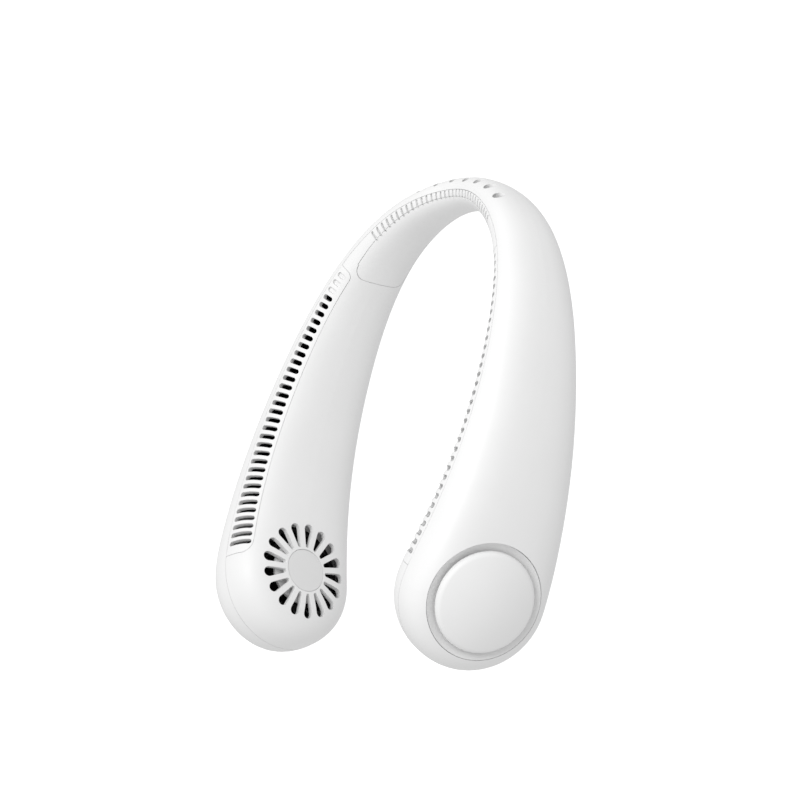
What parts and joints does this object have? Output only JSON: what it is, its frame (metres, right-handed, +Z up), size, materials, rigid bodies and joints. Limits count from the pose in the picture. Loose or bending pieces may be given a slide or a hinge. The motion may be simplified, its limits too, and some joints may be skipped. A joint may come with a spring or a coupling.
{
  "type": "neck fan",
  "caption": "U-shaped hands-free fan worn round the neck: slotted outlets along both arms, a blower in the bulb at each end with round intakes, and a press button.",
  "frame": {"origin": "centre of the footprint on the surface that the fan lies on", "axes": "+Y to the arch behind the neck, +Z up towards the air outlets, +X to the wearer's left"},
  "size_m": [0.2046, 0.211, 0.0611],
  "materials": {
    "shell_white": "satin moulded white",
    "pad_white": "satin moulded white",
    "strip_white": "satin moulded white",
    "ring_white": "satin moulded white",
    "cap_white": "satin moulded white",
    "disc_white": "fine matt white",
    "plate_grey": "moulded light grey",
    "bush_brass": "turned",
    "core_steel": "stamped laminations",
    "coil_copper": "enamelled copper wire",
    "rotor_steel": "drawn",
    "magnet_dark": "bonded ferrite",
    "shaft_steel": "ground",
    "impeller_dark": "moulded black",
    "cell_wrap": "shrink wrapped",
    "cradle_dark": "moulded black",
    "board_green": "solder mask",
    "switch_dark": "moulded black",
    "socket_steel": "stamped",
    "light_clear": "clear moulded",
    "button_white": "satin moulded white",
    "loom_dark": "sleeved",
    "screw_steel": "zinc plated"
  },
  "bodies": {
    "housing": {"outer_shell": "shell_white", "inner_shell": "shell_white", "neck_pad": "pad_white", "control_board": "board_green", "tact_switch": "switch_dark", "usb_socket": "socket_steel", "light_pipe": "light_clear", "wire_loom": "loom_dark", "shell_screws": "screw_steel", "motor_screws": "screw_steel", "vent_strip_left": "strip_white", "vent_strip_right": "strip_white", "intake_ring_left": "ring_white", "intake_ring_right": "ring_white", "intake_cap_left": "cap_white", "intake_cap_right": "cap_white", "centre_disc_left": "disc_white", "centre_disc_right": "disc_white", "motor_plate_left": "plate_grey", "motor_plate_right": "plate_grey", "bearing_tube_left": "bush_brass", "bearing_tube_right": "bush_brass", "stator_core_left": "core_steel", "stator_core_right": "core_steel", "stator_coils_left": "coil_copper", "stator_coils_right": "coil_copper", "battery_left": "cell_wrap", "battery_right": "cell_wrap", "battery_cradle_left": "cradle_dark", "battery_cradle_right": "cradle_dark"},
    "fan_left": {"impeller_left": "impeller_dark", "rotor_cup_left": "rotor_steel", "magnet_ring_left": "magnet_dark", "shaft_left": "shaft_steel"},
    "fan_right": {"impeller_right": "impeller_dark", "rotor_cup_right": "rotor_steel", "magnet_ring_right": "magnet_dark", "shaft_right": "shaft_steel"},
    "button": {"power_button": "button_white"}
  },
  "joints": [
    {"name": "fan_left_spin", "type": "hinge", "parent": "housing", "child": "fan_left", "pos_m": [-0.07879, -0.07383, 0.03078], "axis": [-0.9503, -0.2845, 0.1265], "continuous": true},
    {"name": "fan_right_spin", "type": "hinge", "parent": "housing", "child": "fan_right", "pos_m": [0.07879, -0.07383, 0.03078], "axis": [0.9503, -0.2845, 0.1265], "continuous": true},
    {"name": "button_press", "type": "slide", "parent": "housing", "child": "button", "axis": [0.7694, -0.3586, 0.5285], "range_m": [0, 0.0005], "stiffness_N_per_m": 1500}
  ]
}
